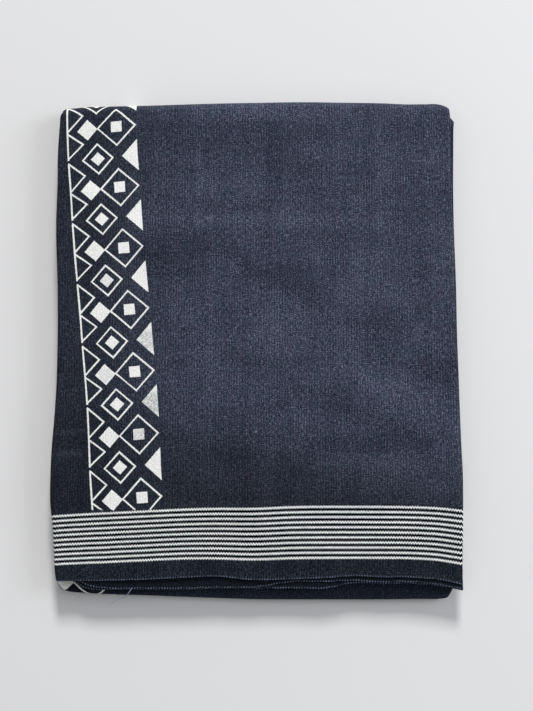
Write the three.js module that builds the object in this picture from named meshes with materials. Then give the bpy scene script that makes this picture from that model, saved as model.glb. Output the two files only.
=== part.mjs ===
// A folded lungi: one piece of handloom cotton, 2 m by 1.2 m, folded in eight along its length and
// then in four across its width. Millimetres, +Z up. The origin is in the middle of the footprint,
// on the surface that the cloth lies on. +X runs along the woven stripes and +Y to the back fold.
//
// The four levels of the stack, from the top: level 1 ends at the front in its own selvedges and
// turns over the back fold into level 4, which lies on the surface. Level 4 turns up round the
// front roll into level 3, and level 3 turns into level 2 at a fold that is hidden inside.

import * as THREE from 'three';

// Sizes of the whole stack
const HALF_WIDTH = 125;
const STACK_HEIGHT = 16;
const FRONT_SLOPE_START = -70;
const FRONT_SLOPE_LENGTH = 75;
const FRONT_DROP = 1.5;

// Cloth walls
const WALL = 1.1;
const GAP = 0.3;
const SIDE_FOLD_DEPTH = 2.2;
const LEVEL_HEIGHT = 4.0;
const RIGHT_FOLD_RADIUS = 2.4;

// Back fold, which wraps the whole height, and front roll, which wraps the two lower levels
const BACK_FOLD_DEPTH = 6;
const FRONT_ROLL_DEPTH = 5;
const FRONT_ROLL_HEIGHT = 8.2;
const FRONT_ROLL_SIDE_HEIGHT = 3.0;
const FRONT_TUCK_END = -143;
const FRONT_BEND_SHARE = 0.8; // of the front roll's length; the rest is the tuck

// Leaves under the top leaf: depth of each upper face below the top of the stack, and its thickness
const SECOND_LEAF = { depth: 1.4, wall: 1.0, leftInset: 2.0, rightInset: 2.0 };
const THIRD_LEAF = { depth: 2.8, wall: 1.1, leftInset: 2.6, rightInset: -0.5 };

// How far the side folds stand out past the half width, for the upper and the lower levels
const SIDES = [
  { y: -158, left: -1.6, right: 2.1, lowerLeft: -1.6, lowerRight: -3.6 },
  { y: -146, left: -1.3, right: 2.1, lowerLeft: -0.6, lowerRight: -3.2 },
  { y: -136, left: -0.3, right: 2.3, lowerLeft: -0.5, lowerRight: -3.0 },
  { y: -120, left: 0.6, right: 2.6, lowerLeft: -0.4, lowerRight: -2.8 },
  { y: -105, left: 1.8, right: 2.9, lowerLeft: -0.2, lowerRight: -2.5 },
  { y: -92, left: 3.0, right: 3.0, lowerLeft: 0.0, lowerRight: -2.2 },
  { y: -77, left: 2.7, right: 3.0, lowerLeft: 0.1, lowerRight: -1.9 },
  { y: -58, left: 1.6, right: 2.1, lowerLeft: 0.0, lowerRight: -1.6 },
  { y: -42, left: 0.3, right: 1.5, lowerLeft: -0.2, lowerRight: -1.3 },
  { y: -20, left: -0.6, right: 0.7, lowerLeft: -0.4, lowerRight: -1.0 },
  { y: 10, left: 0.0, right: -0.1, lowerLeft: -0.3, lowerRight: -0.6 },
  { y: 42, left: 0.6, right: -0.4, lowerLeft: 0.0, lowerRight: -0.2 },
  { y: 85, left: 1.7, right: -0.7, lowerLeft: 0.4, lowerRight: 0.3 },
  { y: 125, left: 1.1, right: 0.0, lowerLeft: 0.7, lowerRight: 0.8 },
  { y: 158, left: 0.5, right: 0.3, lowerLeft: 0.5, lowerRight: 1.0 },
];

// Where each leaf ends at the front, its edge wandering as the selvedge does
const FRONT_EDGES = [
  { x: -128, top: -144.6, second: -145.4, third: -146.0, roll: -146.0 },
  { x: -122, top: -145.4, second: -146.2, third: -147.4, roll: -150.4 },
  { x: -115, top: -145.0, second: -146.6, third: -148.4, roll: -152.6 },
  { x: -97, top: -144.9, second: -146.8, third: -149.4, roll: -153.8 },
  { x: -78, top: -144.4, second: -146.6, third: -150.2, roll: -154.4 },
  { x: -40, top: -142.7, second: -145.6, third: -150.2, roll: -155.6 },
  { x: -28, top: -142.1, second: -145.1, third: -149.8, roll: -155.9 },
  { x: 0, top: -144.4, second: -145.9, third: -149.5, roll: -156.8 },
  { x: 21, top: -143.6, second: -145.5, third: -149.5, roll: -157.0 },
  { x: 45, top: -142.6, second: -145.2, third: -149.5, roll: -157.0 },
  { x: 59, top: -141.5, second: -144.7, third: -149.5, roll: -157.0 },
  { x: 80, top: -142.0, second: -145.9, third: -149.6, roll: -157.0 },
  { x: 92, top: -141.9, second: -145.3, third: -149.8, roll: -157.0 },
  { x: 104, top: -143.0, second: -146.5, third: -150.1, roll: -157.0 },
  { x: 114, top: -143.7, second: -147.6, third: -150.6, roll: -156.6 },
  { x: 119, top: -144.7, second: -148.6, third: -151.0, roll: -155.4 },
  { x: 128, top: -146.9, second: -150.3, third: -151.2, roll: -151.6 },
];

// The crest of the back fold
const BACK_EDGE = [
  { x: -128, y: 152.6 },
  { x: -124, y: 155.4 },
  { x: -120, y: 156.3 },
  { x: -84, y: 157.0 },
  { x: -30, y: 158.3 },
  { x: 28, y: 158.9 },
  { x: 80, y: 158.6 },
  { x: 117, y: 158.0 },
  { x: 123, y: 156.6 },
  { x: 128, y: 152.2 },
];

// Soft ridges and troughs of the top, placed by middle, heading in degrees from +X and half sizes
const SWELLS = [
  { x: 104, y: -30, heading: -34, halfLength: 34, halfWidth: 9, height: 0.5 },
  { x: 14, y: -66, heading: 4, halfLength: 52, halfWidth: 13, height: -0.5 },
  { x: -48, y: 66, heading: 12, halfLength: 44, halfWidth: 15, height: -0.4 },
  { x: 52, y: 96, heading: 80, halfLength: 46, halfWidth: 12, height: 0.4 },
  { x: -20, y: 18, heading: -20, halfLength: 50, halfWidth: 18, height: 0.3 },
];

// Rings of the hidden layers, from the floor up: insets from the folds and edges, and how much of
// the top's own rise and fall each ring follows. The insets grow and shrink as the layers bulge.
const HIDDEN_RINGS = [
  { z: 1.4, follow: 0, left: 3.8, right: 2.9, front: 4.8, back: 6.0, shoulder: 0 },
  { z: 2.4, follow: 0, left: 3.1, right: 2.1, front: 3.2, back: 5.0, shoulder: 0 },
  { z: 4.1, follow: 0, left: 3.0, right: 1.4, front: 2.6, back: 4.8, shoulder: 0.6 },
  { z: 4.4, follow: 0, left: 1.5, right: 1.2, front: 2.6, back: 4.8, shoulder: 1.6 },
  { z: 5.1, follow: 0, left: 0.6, right: 0.5, front: 3.0, back: 4.8, shoulder: 2.4 },
  { z: 6.7, follow: 0, left: 0.5, right: 0.4, front: 4.5, back: 4.8, shoulder: 3.0 },
  { z: 6.8, follow: 0, left: 0.5, right: 0.4, front: 14.6, back: 4.8, shoulder: 3.0 },
  { z: 7.9, follow: 0.1, left: 1.5, right: 1.1, front: 14.6, back: 4.8, shoulder: 1.4 },
  { z: 8.5, follow: 0.2, left: 1.4, right: 1.0, front: 14.6, back: 4.8, shoulder: 1.4 },
  { z: 8.6, follow: 0.2, left: 1.3, right: 1.0, front: 8.2, back: 4.8, shoulder: 0 },
  { z: 9.3, follow: 0.4, left: 0.4, right: 0.3, front: 7.4, back: 4.8, shoulder: 0 },
  { z: 10.9, follow: 0.8, left: 0.4, right: 0.3, front: 7.4, back: 4.8, shoulder: 0 },
  { z: 11.8, follow: 1, left: 1.4, right: 1.2, front: 8.0, back: 5.0, shoulder: 0 },
];
const HIDDEN_CORNER_RADIUS = 5;
const SHOULDER_END = -141;
const SHOULDER_STEP = 0.8;
const CAP_SCALES = [0.72, 0.44, 0.2];

// How finely each wall is divided
const SPLITS = {
  lip: 5, rightLip: 3, flat: 13, along: 18, bend: 8, frontBend: 10, leaf: 14, side: 10, corner: 3,
};

const NAVY = new THREE.Color(0x363b4c);
const DEEP_NAVY = new THREE.Color(0x232838);
const COTTON_ROUGHNESS = 0.92;

// ---------------------------------------------------------------------------------------------

// Straight-line reading of a column of a table between its rows
function readTable(table, key, at, column) {
  const first = table[0];
  const last = table[table.length - 1];
  if (at <= first[key]) return first[column];
  if (at >= last[key]) return last[column];
  const next = table.findIndex((row) => row[key] > at);
  const low = table[next - 1];
  const high = table[next];
  return THREE.MathUtils.mapLinear(at, low[key], high[key], low[column], high[column]);
}

const frontEdge = (x, column) => readTable(FRONT_EDGES, 'x', x, column);
const backEdge = (x) => readTable(BACK_EDGE, 'x', x, 'y');

// Left and right fold at a distance y; lower is 0 for the upper levels and 1 for the lower ones
function sideFolds(y, lower) {
  const upperLeft = readTable(SIDES, 'y', y, 'left');
  const upperRight = readTable(SIDES, 'y', y, 'right');
  const left = THREE.MathUtils.lerp(upperLeft, readTable(SIDES, 'y', y, 'lowerLeft'), lower);
  const right = THREE.MathUtils.lerp(upperRight, readTable(SIDES, 'y', y, 'lowerRight'), lower);
  return { left: -HALF_WIDTH - left, right: HALF_WIDTH + right };
}

// Height of the top of the stack
function topHeight(x, y) {
  const slope = THREE.MathUtils.smoothstep(FRONT_SLOPE_START - y, 0, FRONT_SLOPE_LENGTH);
  let height = STACK_HEIGHT - FRONT_DROP * slope;
  for (const swell of SWELLS) {
    const heading = THREE.MathUtils.degToRad(swell.heading);
    const dx = x - swell.x;
    const dy = y - swell.y;
    const along = (dx * Math.cos(heading) + dy * Math.sin(heading)) / swell.halfLength;
    const across = (dy * Math.cos(heading) - dx * Math.sin(heading)) / swell.halfWidth;
    height += swell.height * Math.exp(-along * along - across * across);
  }
  return height;
}

// The outer cloth's paths. Each gives the point at x, a share v along the stretch and a depth
// below the cloth's outer face.
const PATHS = {
  top(x, v, depth) {
    const back = backEdge(x) - BACK_FOLD_DEPTH - GAP / 2;
    const y = THREE.MathUtils.lerp(frontEdge(x, 'top'), back, v);
    return new THREE.Vector3(x, y, topHeight(x, y) - depth);
  },
  back(x, v, depth) {
    const middle = backEdge(x) - BACK_FOLD_DEPTH + GAP / 2;
    const radius = topHeight(x, middle) / 2;
    return bendPoint(x, Math.PI * (0.5 - v), depth, middle, BACK_FOLD_DEPTH, radius);
  },
  bottom(x, v, depth) {
    const back = backEdge(x) - BACK_FOLD_DEPTH - GAP / 2;
    const front = frontEdge(x, 'roll') + FRONT_ROLL_DEPTH + GAP / 2;
    return new THREE.Vector3(x, THREE.MathUtils.lerp(front, back, v), depth);
  },
  front(x, v, depth) {
    const middle = frontEdge(x, 'roll') + FRONT_ROLL_DEPTH - GAP / 2;
    const radius = FRONT_ROLL_HEIGHT / 2;
    if (v > FRONT_BEND_SHARE) {
      const y = THREE.MathUtils.mapLinear(v, FRONT_BEND_SHARE, 1, middle, FRONT_TUCK_END);
      return new THREE.Vector3(x, y, FRONT_ROLL_HEIGHT - depth);
    }
    const angle = Math.PI * (v / FRONT_BEND_SHARE - 0.5);
    return bendPoint(x, angle, depth, middle, -FRONT_ROLL_DEPTH, radius);
  },
};

// A point of a bend whose section is a half ellipse, at a depth inside it; the angle runs from
// straight down to straight up
function bendPoint(x, angle, depth, middle, reach, radius) {
  const normal = new THREE.Vector2(Math.cos(angle) * radius * Math.sign(reach),
    Math.sin(angle) * Math.abs(reach)).normalize();
  const y = middle + reach * Math.cos(angle) - depth * normal.x;
  const z = radius + radius * Math.sin(angle) - depth * normal.y;
  return new THREE.Vector3(x, y, z);
}

// Section across the outer cloth: the side fold on the left, the flat stretch and the drooping
// right edge, as pairs of an outer and an inner point, each a shift from one side and a depth
function clothSection(sideHeight) {
  const pairs = [];
  const half = sideHeight / 2;
  for (let i = 0; i <= SPLITS.lip; i += 1) {
    const angle = Math.PI * i / SPLITS.lip;
    const ring = (radius, height) => ({
      side: 'left',
      shift: SIDE_FOLD_DEPTH - radius * Math.sin(angle),
      depth: half + height * Math.cos(angle),
    });
    pairs.push([ring(SIDE_FOLD_DEPTH, half), ring(SIDE_FOLD_DEPTH - WALL, half - WALL)]);
  }
  for (let i = 1; i < SPLITS.flat; i += 1) {
    const share = i / SPLITS.flat;
    pairs.push([{ side: 'both', share, depth: 0 }, { side: 'both', share, depth: WALL }]);
  }
  for (let i = 0; i <= SPLITS.rightLip; i += 1) {
    const angle = Math.PI / 2 * i / SPLITS.rightLip;
    const ring = (radius) => ({
      side: 'right',
      shift: radius * Math.sin(angle) - RIGHT_FOLD_RADIUS,
      depth: RIGHT_FOLD_RADIUS - radius * Math.cos(angle),
    });
    pairs.push([ring(RIGHT_FOLD_RADIUS), ring(RIGHT_FOLD_RADIUS - WALL)]);
  }
  return pairs;
}

// Plain section of a leaf that lies under another
function leafSection(leaf) {
  const pairs = [];
  for (let i = 0; i <= SPLITS.leaf; i += 1) {
    const share = i / SPLITS.leaf;
    pairs.push([{ side: 'inset', share, depth: leaf.depth },
      { side: 'inset', share, depth: leaf.depth + leaf.wall }]);
  }
  return pairs;
}

// x of a section point between the left and right folds
function sectionX(point, folds, leaf) {
  if (point.side === 'left') return folds.left + point.shift;
  if (point.side === 'right') return folds.right + point.shift;
  const left = folds.left + (leaf ? leaf.leftInset : SIDE_FOLD_DEPTH);
  const right = folds.right - (leaf ? leaf.rightInset : RIGHT_FOLD_RADIUS);
  return THREE.MathUtils.lerp(left, right, point.share);
}

// A closed wall lofted through sections along a path. The side folds are read where the middle of
// the section lies.
function clothWall({ section, path, lowerFrom, lowerTo, splits, leaf = null }) {
  const rings = [];
  for (let i = 0; i <= splits; i += 1) {
    const v = i / splits;
    const folds = sideFolds(path(0, v, 0).y, THREE.MathUtils.lerp(lowerFrom, lowerTo, v));
    const place = (point) => path(sectionX(point, folds, leaf), v, point.depth);
    rings.push(section.map(([outer, inner]) => [place(outer), place(inner)]));
  }
  const columns = section.length;
  const positions = [];
  for (const ring of rings) {
    for (const pair of ring) {
      positions.push(...pair[0].toArray(), ...pair[1].toArray());
    }
  }
  const at = (row, column, side) => (row * columns + column) * 2 + side;
  const faces = [];
  const quad = (a, b, c, d) => faces.push(a, b, c, a, c, d);
  for (let row = 0; row < splits; row += 1) {
    for (let column = 0; column < columns - 1; column += 1) {
      const next = column + 1;
      quad(at(row, column, 0), at(row, next, 0), at(row + 1, next, 0), at(row + 1, column, 0));
      quad(at(row, column, 1), at(row + 1, column, 1), at(row + 1, next, 1), at(row, next, 1));
    }
    const end = columns - 1;
    quad(at(row, 0, 0), at(row + 1, 0, 0), at(row + 1, 0, 1), at(row, 0, 1));
    quad(at(row, end, 0), at(row, end, 1), at(row + 1, end, 1), at(row + 1, end, 0));
  }
  for (let column = 0; column < columns - 1; column += 1) {
    const next = column + 1;
    quad(at(0, column, 0), at(0, column, 1), at(0, next, 1), at(0, next, 0));
    quad(at(splits, column, 0), at(splits, next, 0), at(splits, next, 1), at(splits, column, 1));
  }
  return closedGeometry(positions, faces);
}

// Path of a leaf under the top one, from its own front edge to just short of the back fold
function leafPath(column) {
  return (x, v, depth) => {
    const back = backEdge(x) - BACK_FOLD_DEPTH - GAP;
    const y = THREE.MathUtils.lerp(frontEdge(x, column), back, v);
    return new THREE.Vector3(x, y, topHeight(x, y) - depth);
  };
}

// Outline of one ring of the hidden layers: a rectangle with round corners, its sides following
// the folds, and a shoulder that makes room for the front roll
function hiddenOutline(ring) {
  const lowerShare = 1 - THREE.MathUtils.smoothstep(ring.z, LEVEL_HEIGHT, 3 * LEVEL_HEIGHT);
  const radius = HIDDEN_CORNER_RADIUS;
  const edge = (x) => ({ front: frontEdge(x, 'roll') + ring.front, back: backEdge(x) - ring.back });
  const side = (y, name) => {
    const besideRoll = y < SHOULDER_END && ring.shoulder > 0;
    const folds = sideFolds(y, besideRoll ? 1 : lowerShare);
    const shoulder = besideRoll ? ring.shoulder : 0;
    if (name === 'left') return folds.left + ring.left + shoulder;
    return folds.right - ring.right - shoulder;
  };
  const outline = [];
  const frontY = edge(0).front + radius;
  const backY = edge(0).back - radius;
  const behindShoulder = SHOULDER_END + SHOULDER_STEP / 2;
  const sideRows = [frontY, SHOULDER_END - SHOULDER_STEP / 2, behindShoulder];
  for (let i = 1; i <= SPLITS.side; i += 1) {
    sideRows.push(THREE.MathUtils.lerp(behindShoulder, backY, i / SPLITS.side));
  }
  const corner = (name, end) => {
    const points = [];
    for (let i = 1; i < SPLITS.corner; i += 1) {
      const angle = Math.PI / 2 * i / SPLITS.corner;
      const start = side(end === 'front' ? frontY : backY, name);
      const inward = name === 'left' ? 1 : -1;
      const x = start + inward * radius * (1 - Math.cos(angle));
      const flat = end === 'front' ? edge(x).front : edge(x).back;
      const sign = end === 'front' ? 1 : -1;
      points.push([x, flat + sign * radius * (1 - Math.sin(angle))]);
    }
    return points;
  };
  const across = (end) => {
    const y = end === 'front' ? frontY : backY;
    const left = side(y, 'left') + radius;
    const right = side(y, 'right') - radius;
    const points = [];
    for (let i = 0; i <= SPLITS.flat; i += 1) {
      const x = THREE.MathUtils.lerp(left, right, i / SPLITS.flat);
      points.push([x, edge(x)[end]]);
    }
    return points;
  };
  outline.push(...corner('left', 'front'), ...across('front'));
  outline.push(...corner('right', 'front').reverse());
  outline.push(...sideRows.map((y) => [side(y, 'right'), y]));
  outline.push(...corner('right', 'back'), ...across('back').reverse());
  outline.push(...corner('left', 'back').reverse());
  outline.push(...sideRows.map((y) => [side(y, 'left'), y]).reverse());
  return outline;
}

// The layers that do not show, as one solid that is rounded and grooved at its edges
function hiddenLayers() {
  const height = (ring, x, y) => ring.z + ring.follow * (topHeight(x, y) - STACK_HEIGHT);
  const loops = HIDDEN_RINGS.map((ring) =>
    hiddenOutline(ring).map(([x, y]) => [x, y, height(ring, x, y)]));
  const shrink = (ring, loop, scale) =>
    loop.map(([x, y]) => [x * scale, y * scale, height(ring, x * scale, y * scale)]);
  const floor = HIDDEN_RINGS[0];
  const roof = HIDDEN_RINGS[HIDDEN_RINGS.length - 1];
  const roofLoop = loops[loops.length - 1];
  const stack = [...loops, ...CAP_SCALES.map((scale) => shrink(roof, roofLoop, scale))];
  const count = roofLoop.length;
  const positions = stack.flat(2);
  const faces = [];
  for (let level = 0; level < stack.length - 1; level += 1) {
    for (let i = 0; i < count; i += 1) {
      const next = (i + 1) % count;
      const low = level * count;
      const high = low + count;
      faces.push(low + i, low + next, high + next, low + i, high + next, high + i);
    }
  }
  const roofMiddle = positions.length / 3;
  positions.push(0, 0, height(roof, 0, 0));
  const floorMiddle = roofMiddle + 1;
  positions.push(0, 0, floor.z);
  const lastLoop = (stack.length - 1) * count;
  for (let i = 0; i < count; i += 1) {
    const next = (i + 1) % count;
    faces.push(lastLoop + i, lastLoop + next, roofMiddle);
    faces.push(next, i, floorMiddle);
  }
  return closedGeometry(positions, faces);
}

function closedGeometry(positions, faces) {
  const geometry = new THREE.BufferGeometry();
  geometry.setAttribute('position', new THREE.Float32BufferAttribute(positions, 3));
  geometry.setIndex(faces);
  geometry.computeVertexNormals();
  return geometry;
}

// ---------------------------------------------------------------------------------------------

const lungi = new THREE.Group();

function addPiece(name, geometry, color) {
  const material = new THREE.MeshStandardMaterial({
    color, roughness: COTTON_ROUGHNESS, metalness: 0,
  });
  const mesh = new THREE.Mesh(geometry, material);
  mesh.name = name;
  lungi.add(mesh);
}

const wideSection = clothSection(LEVEL_HEIGHT);
const rollSection = clothSection(FRONT_ROLL_SIDE_HEIGHT);

addPiece('top_leaf', clothWall({
  section: wideSection, path: PATHS.top, lowerFrom: 0, lowerTo: 0, splits: SPLITS.along,
}), NAVY);

addPiece('back_fold', clothWall({
  section: wideSection, path: PATHS.back, lowerFrom: 0, lowerTo: 1, splits: SPLITS.bend,
}), NAVY);

addPiece('bottom_leaf', clothWall({
  section: [...wideSection].reverse(), path: PATHS.bottom, lowerFrom: 1, lowerTo: 1,
  splits: SPLITS.along,
}), DEEP_NAVY);

addPiece('front_roll', clothWall({
  section: rollSection, path: PATHS.front, lowerFrom: 1, lowerTo: 1, splits: SPLITS.frontBend,
}), DEEP_NAVY);

addPiece('second_leaf', clothWall({
  section: leafSection(SECOND_LEAF), path: leafPath('second'), leaf: SECOND_LEAF,
  lowerFrom: 0, lowerTo: 0, splits: SPLITS.along,
}), DEEP_NAVY);

addPiece('third_leaf', clothWall({
  section: leafSection(THIRD_LEAF), path: leafPath('third'), leaf: THIRD_LEAF,
  lowerFrom: 0, lowerTo: 0, splits: SPLITS.along,
}), DEEP_NAVY);

addPiece('hidden_layers', hiddenLayers(), DEEP_NAVY);

// The origin goes to the middle of the footprint
const middle = new THREE.Box3().setFromObject(lungi).getCenter(new THREE.Vector3());
lungi.position.set(-middle.x, -middle.y, 0);

export default lungi;
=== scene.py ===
# %% [markdown]
# A folded lungi
#
# A lungi is one length of handloom cotton, about 2 m by 1.2 m, that is worn wrapped round the waist.
# This one lies folded for the shelf: in eight along its length, then in four across its width, which
# makes a stack of 32 layers, 16 mm high. It could be modelled as a slab with a cloth texture, but the
# edges of such a stack are what an eye goes to: round folds on the left, folds and cut ends on the
# right, selvedges at the front. So this lesson folds one ribbon of cloth the way that a hand does.
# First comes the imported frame, which fixes the size of everything.

# %% The fixed frame
import math

import bpy
import mathutils
import numpy as np
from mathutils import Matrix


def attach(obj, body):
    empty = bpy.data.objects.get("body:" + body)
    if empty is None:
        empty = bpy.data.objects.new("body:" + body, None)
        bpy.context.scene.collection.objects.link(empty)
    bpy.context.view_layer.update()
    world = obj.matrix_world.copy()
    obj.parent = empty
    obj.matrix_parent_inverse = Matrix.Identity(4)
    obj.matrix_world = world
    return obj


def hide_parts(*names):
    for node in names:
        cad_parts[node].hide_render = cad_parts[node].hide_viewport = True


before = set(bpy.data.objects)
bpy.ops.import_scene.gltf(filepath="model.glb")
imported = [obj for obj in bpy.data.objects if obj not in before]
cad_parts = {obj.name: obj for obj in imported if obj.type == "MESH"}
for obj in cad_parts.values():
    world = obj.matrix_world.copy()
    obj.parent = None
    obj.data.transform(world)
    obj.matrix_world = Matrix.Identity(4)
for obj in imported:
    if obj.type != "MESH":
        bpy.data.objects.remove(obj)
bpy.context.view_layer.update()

MM = 0.001
print("frame nodes:", sorted(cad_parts))

# %% [markdown]
# Tables and smooth curves
#
# The edges of hand-folded cloth wander by a few millimetres. A handful of measured places, joined by
# a smooth curve, gives that wander. It could be noise, but noise doesn't know that the front corner
# sticks out further than the middle. Each table below has named columns, with sizes in millimetres
# and headings in degrees.

# %% Tables and curves
def table(columns, *rows):
    """Rows of numbers under named columns, as one array for each column."""
    return dict(zip(columns.split(), np.array(rows, float).T))


def curve(rows, key, at, column):
    """A smooth curve through the places that a column of a table gives."""
    keys, values = rows[key], rows[column]
    slopes = np.gradient(values, keys)
    at = np.clip(at, keys[0], keys[-1])
    low = np.clip(np.searchsorted(keys, at, side="right") - 1, 0, len(keys) - 2)
    step = keys[low + 1] - keys[low]
    t = (at - keys[low]) / step
    rise = values[low + 1] - values[low]
    start, end = slopes[low] * step, slopes[low + 1] * step
    return values[low] + t * start + t**2 * (3 * rise - 2 * start - end) + t**3 * (start + end - 2 * rise)


def ease(at, start, end):
    """0 at start, 1 at end, and a soft S between them."""
    t = np.clip((at - start) / (end - start), 0, 1)
    return t * t * (3 - 2 * t)


# %% [markdown]
# Sizes and edges of the stack
#
# The stack is 250 mm wide, an eighth of the 2 m cloth, and 16 mm high, for 32 loose layers. Hands
# never fold it true, so three tables say how its edges wander. SIDES gives how far each side fold
# stands out past the width, for the upper levels and for the lower ones, and how far the top leaf's
# right fold is tucked in over the layers below it. FRONT_EDGES gives where the first and the last
# white stripe, the ends of three leaves and the front roll lie, and how far the leaves under the top
# one hang below it. BACK_EDGE is the crest of the back fold. Curves drawn in the viewport would do
# the same, but a table can be read, and changed by half a millimetre.

# %% Sizes of the stack
ORIGIN = np.array([-0.44, -0.95, 0.0])  # the frame's origin is the middle of the footprint
HALF_WIDTH = 125
STACK_HEIGHT = 16
LAYERS = 8
PITCH = 0.5  # one layer to the next
CLOTH = 0.34  # the cloth's own thickness
LEVEL_HEIGHT = LAYERS * PITCH
BACK_REACH = 6
ROLL_REACH = 5

SIDES = table(
    "y left right lower_left lower_right tuck",
    (-158, -1.6, 0.2, -1.6, -5.2, 0.0),
    (-151, -1.4, 0.9, -0.8, -5.4, 0.0),
    (-147, -1.3, 2.1, -0.6, -4.6, 0.0),
    (-136, -0.3, 2.3, -0.5, -3.0, 0.0),
    (-120, 0.4, 2.6, -0.4, -2.8, 0.0),
    (-105, 1.4, 2.9, -0.2, -2.5, 0.0),
    (-92, 2.8, 3.1, 0.0, -2.2, 0.0),
    (-77, 2.9, 3.3, 0.1, -1.9, 0.2),
    (-58, 2.4, 2.6, 0.0, -1.6, 0.4),
    (-42, 1.2, 2.2, -0.2, -1.3, 0.6),
    (-20, 0.1, 1.7, -0.4, -1.0, 0.9),
    (10, -0.2, 1.0, -0.3, -0.6, 1.1),
    (42, 0.3, 0.8, 0.0, -0.2, 1.1),
    (85, 1.9, -0.1, 0.4, 0.3, 0.9),
    (110, 1.4, -0.1, 0.6, 0.6, 1.3),
    (130, 1.5, 0.3, 0.7, 0.8, 1.8),
    (144, 0.8, 0.6, 0.6, 0.9, 2.0),
    (149.6, 0.5, 0.9, 0.4, -0.1, 2.3),
    (150.2, 0.5, 0.9, 0.4, -0.4, 2.5),
    (150.8, 0.4, -1.3, 0.3, -0.7, 0.4),
    (151.4, 0.4, -1.5, 0.3, -1.0, 0.2),
    (158, -0.2, -1.3, 0.0, -2.2, 0.2),
)

FRONT_EDGES = table(
    "x first last top second third roll gap",
    (-128, -105.8, -135.6, -144.6, -144.4, -144.2, -146.0, 0.1),
    (-122, -105.3, -134.7, -145.2, -144.6, -144.2, -150.4, 0.2),
    (-115, -104.8, -134.3, -145.0, -144.8, -144.8, -152.6, 0.5),
    (-110, -104.5, -134.1, -144.9, -145.2, -146.6, -153.0, 0.7),
    (-106, -104.3, -133.9, -144.8, -146.8, -149.4, -153.3, 0.8),
    (-101, -104.0, -133.7, -144.9, -148.6, -150.3, -153.6, 0.9),
    (-92, -103.6, -133.4, -144.7, -149.4, -150.5, -154.0, 0.9),
    (-87, -103.3, -133.1, -144.6, -149.9, -150.5, -154.2, 1.3),
    (-78, -102.9, -132.7, -144.4, -149.8, -150.4, -154.4, 1.6),
    (-40, -101.2, -131.1, -142.7, -149.6, -150.4, -155.8, 1.9),
    (-28, -100.9, -131.1, -142.1, -149.2, -149.9, -156.2, 1.9),
    (0, -100.8, -131.7, -144.4, -148.9, -149.6, -157.1, 1.7),
    (21, -99.9, -131.0, -143.9, -145.8, -149.5, -157.2, 1.4),
    (45, -99.6, -130.8, -142.9, -145.4, -149.3, -157.2, 1.1),
    (59, -99.6, -130.8, -141.9, -144.8, -146.4, -157.2, 1.2),
    (80, -99.7, -130.8, -142.7, -145.9, -146.9, -157.2, 1.0),
    (92, -99.8, -130.9, -142.6, -145.5, -146.4, -157.0, 0.9),
    (104, -100.1, -131.4, -143.4, -146.5, -147.3, -156.9, 0.8),
    (114, -100.7, -132.3, -144.3, -147.6, -148.2, -156.8, 0.7),
    (119, -101.2, -133.1, -145.3, -148.6, -149.2, -155.9, 0.6),
    (122, -101.5, -133.6, -146.0, -149.2, -149.8, -153.6, 0.5),
    (128, -102.3, -134.7, -147.4, -150.3, -150.8, -147.0, 0.4),
)

BACK_EDGE = table(
    "x y",
    (-128, 152.0), (-123.5, 153.6), (-119.5, 154.3), (-115, 154.7), (-110, 155.2), (-92, 155.8),
    (-60, 156.6), (-30, 157.6), (0, 158.2), (28, 158.6), (56, 158.3), (80, 157.9),
    (97, 157.2), (108, 157.3), (117, 157.1), (121, 155.8), (124, 154.0), (128, 151.0),
)


def at_front(name, x):
    return curve(FRONT_EDGES, "x", x, name)


def at_side(name, y):
    return curve(SIDES, "y", y, name)


print("stack: %d layers, %d mm wide and %d mm high" % (4 * LAYERS, 2 * HALF_WIDTH, STACK_HEIGHT))

# %% [markdown]
# How the top lies
#
# The stack is not flat. It slopes down to the front, where its edges are thinner, and the top leaf
# has a few broad swells where the folds under it don't quite meet. Over them run faint wrinkles left
# by ironing and stacking. The swells are listed one by one; the wrinkles are many and alike, so a seeded
# sum of waves makes them, patchy so that no two places look the same.

# %% Height of the top
SLOPE_START, SLOPE_END, FRONT_DROP = -70, -145, 1.5

SWELLS = table(
    "x y heading half_length half_width height",
    (-10, 76, -1, 75, 7, 0.5),
    (5, 54, -28, 46, 9, 1.3),
    (-54, 67, 0, 20, 10, 0.9),
    (98, -20, -20, 38, 9, -1.1),
    (70, -36, -24, 46, 10, 1.1),
    (68, -67, -2, 34, 8, -0.9),
    (-16, -60, -5, 20, 9, 1.1),
    (-70, -66, 0, 16, 6, 0.4),
    (-20, 147, 0, 62, 11, 0.5),
    (-20, 92, 5, 26, 9, 0.4),
    (74, 28, 10, 18, 14, 1.1),
    (10, -4, -10, 32, 13, 0.8),
    (118, 12, 90, 16, 5, -0.5),
    (70, -112, -2, 50, 7, 0.3),
    (-30, -104, 3, 60, 6, 0.3),
    (-96, -20, 84, 60, 10, 0.3),
)

WAVES = 22
rng = np.random.default_rng(11)
wave_length = rng.uniform(11, 62, WAVES)
wave_heading = rng.uniform(0, math.pi, WAVES)
wave_phase = rng.uniform(0, 2 * math.pi, WAVES)
WRINKLE_STEEPNESS = 0.0011
PATCH_ALONG, PATCH_ACROSS = 47, 39  # how wide the patches with and without wrinkles are


def wrinkles(x, y):
    """Faint waves in every direction, strong in some patches and gone in others."""
    height = 0
    for length, heading, phase in zip(wave_length, wave_heading, wave_phase):
        along = x * math.cos(heading) + y * math.sin(heading)
        patch = 0.5 + 0.5 * np.sin(along / PATCH_ALONG + 3 * phase) * np.cos((x - y) / PATCH_ACROSS + phase)
        height = height + WRINKLE_STEEPNESS * length * patch * np.sin(2 * math.pi * along / length + phase)
    return height


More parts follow.
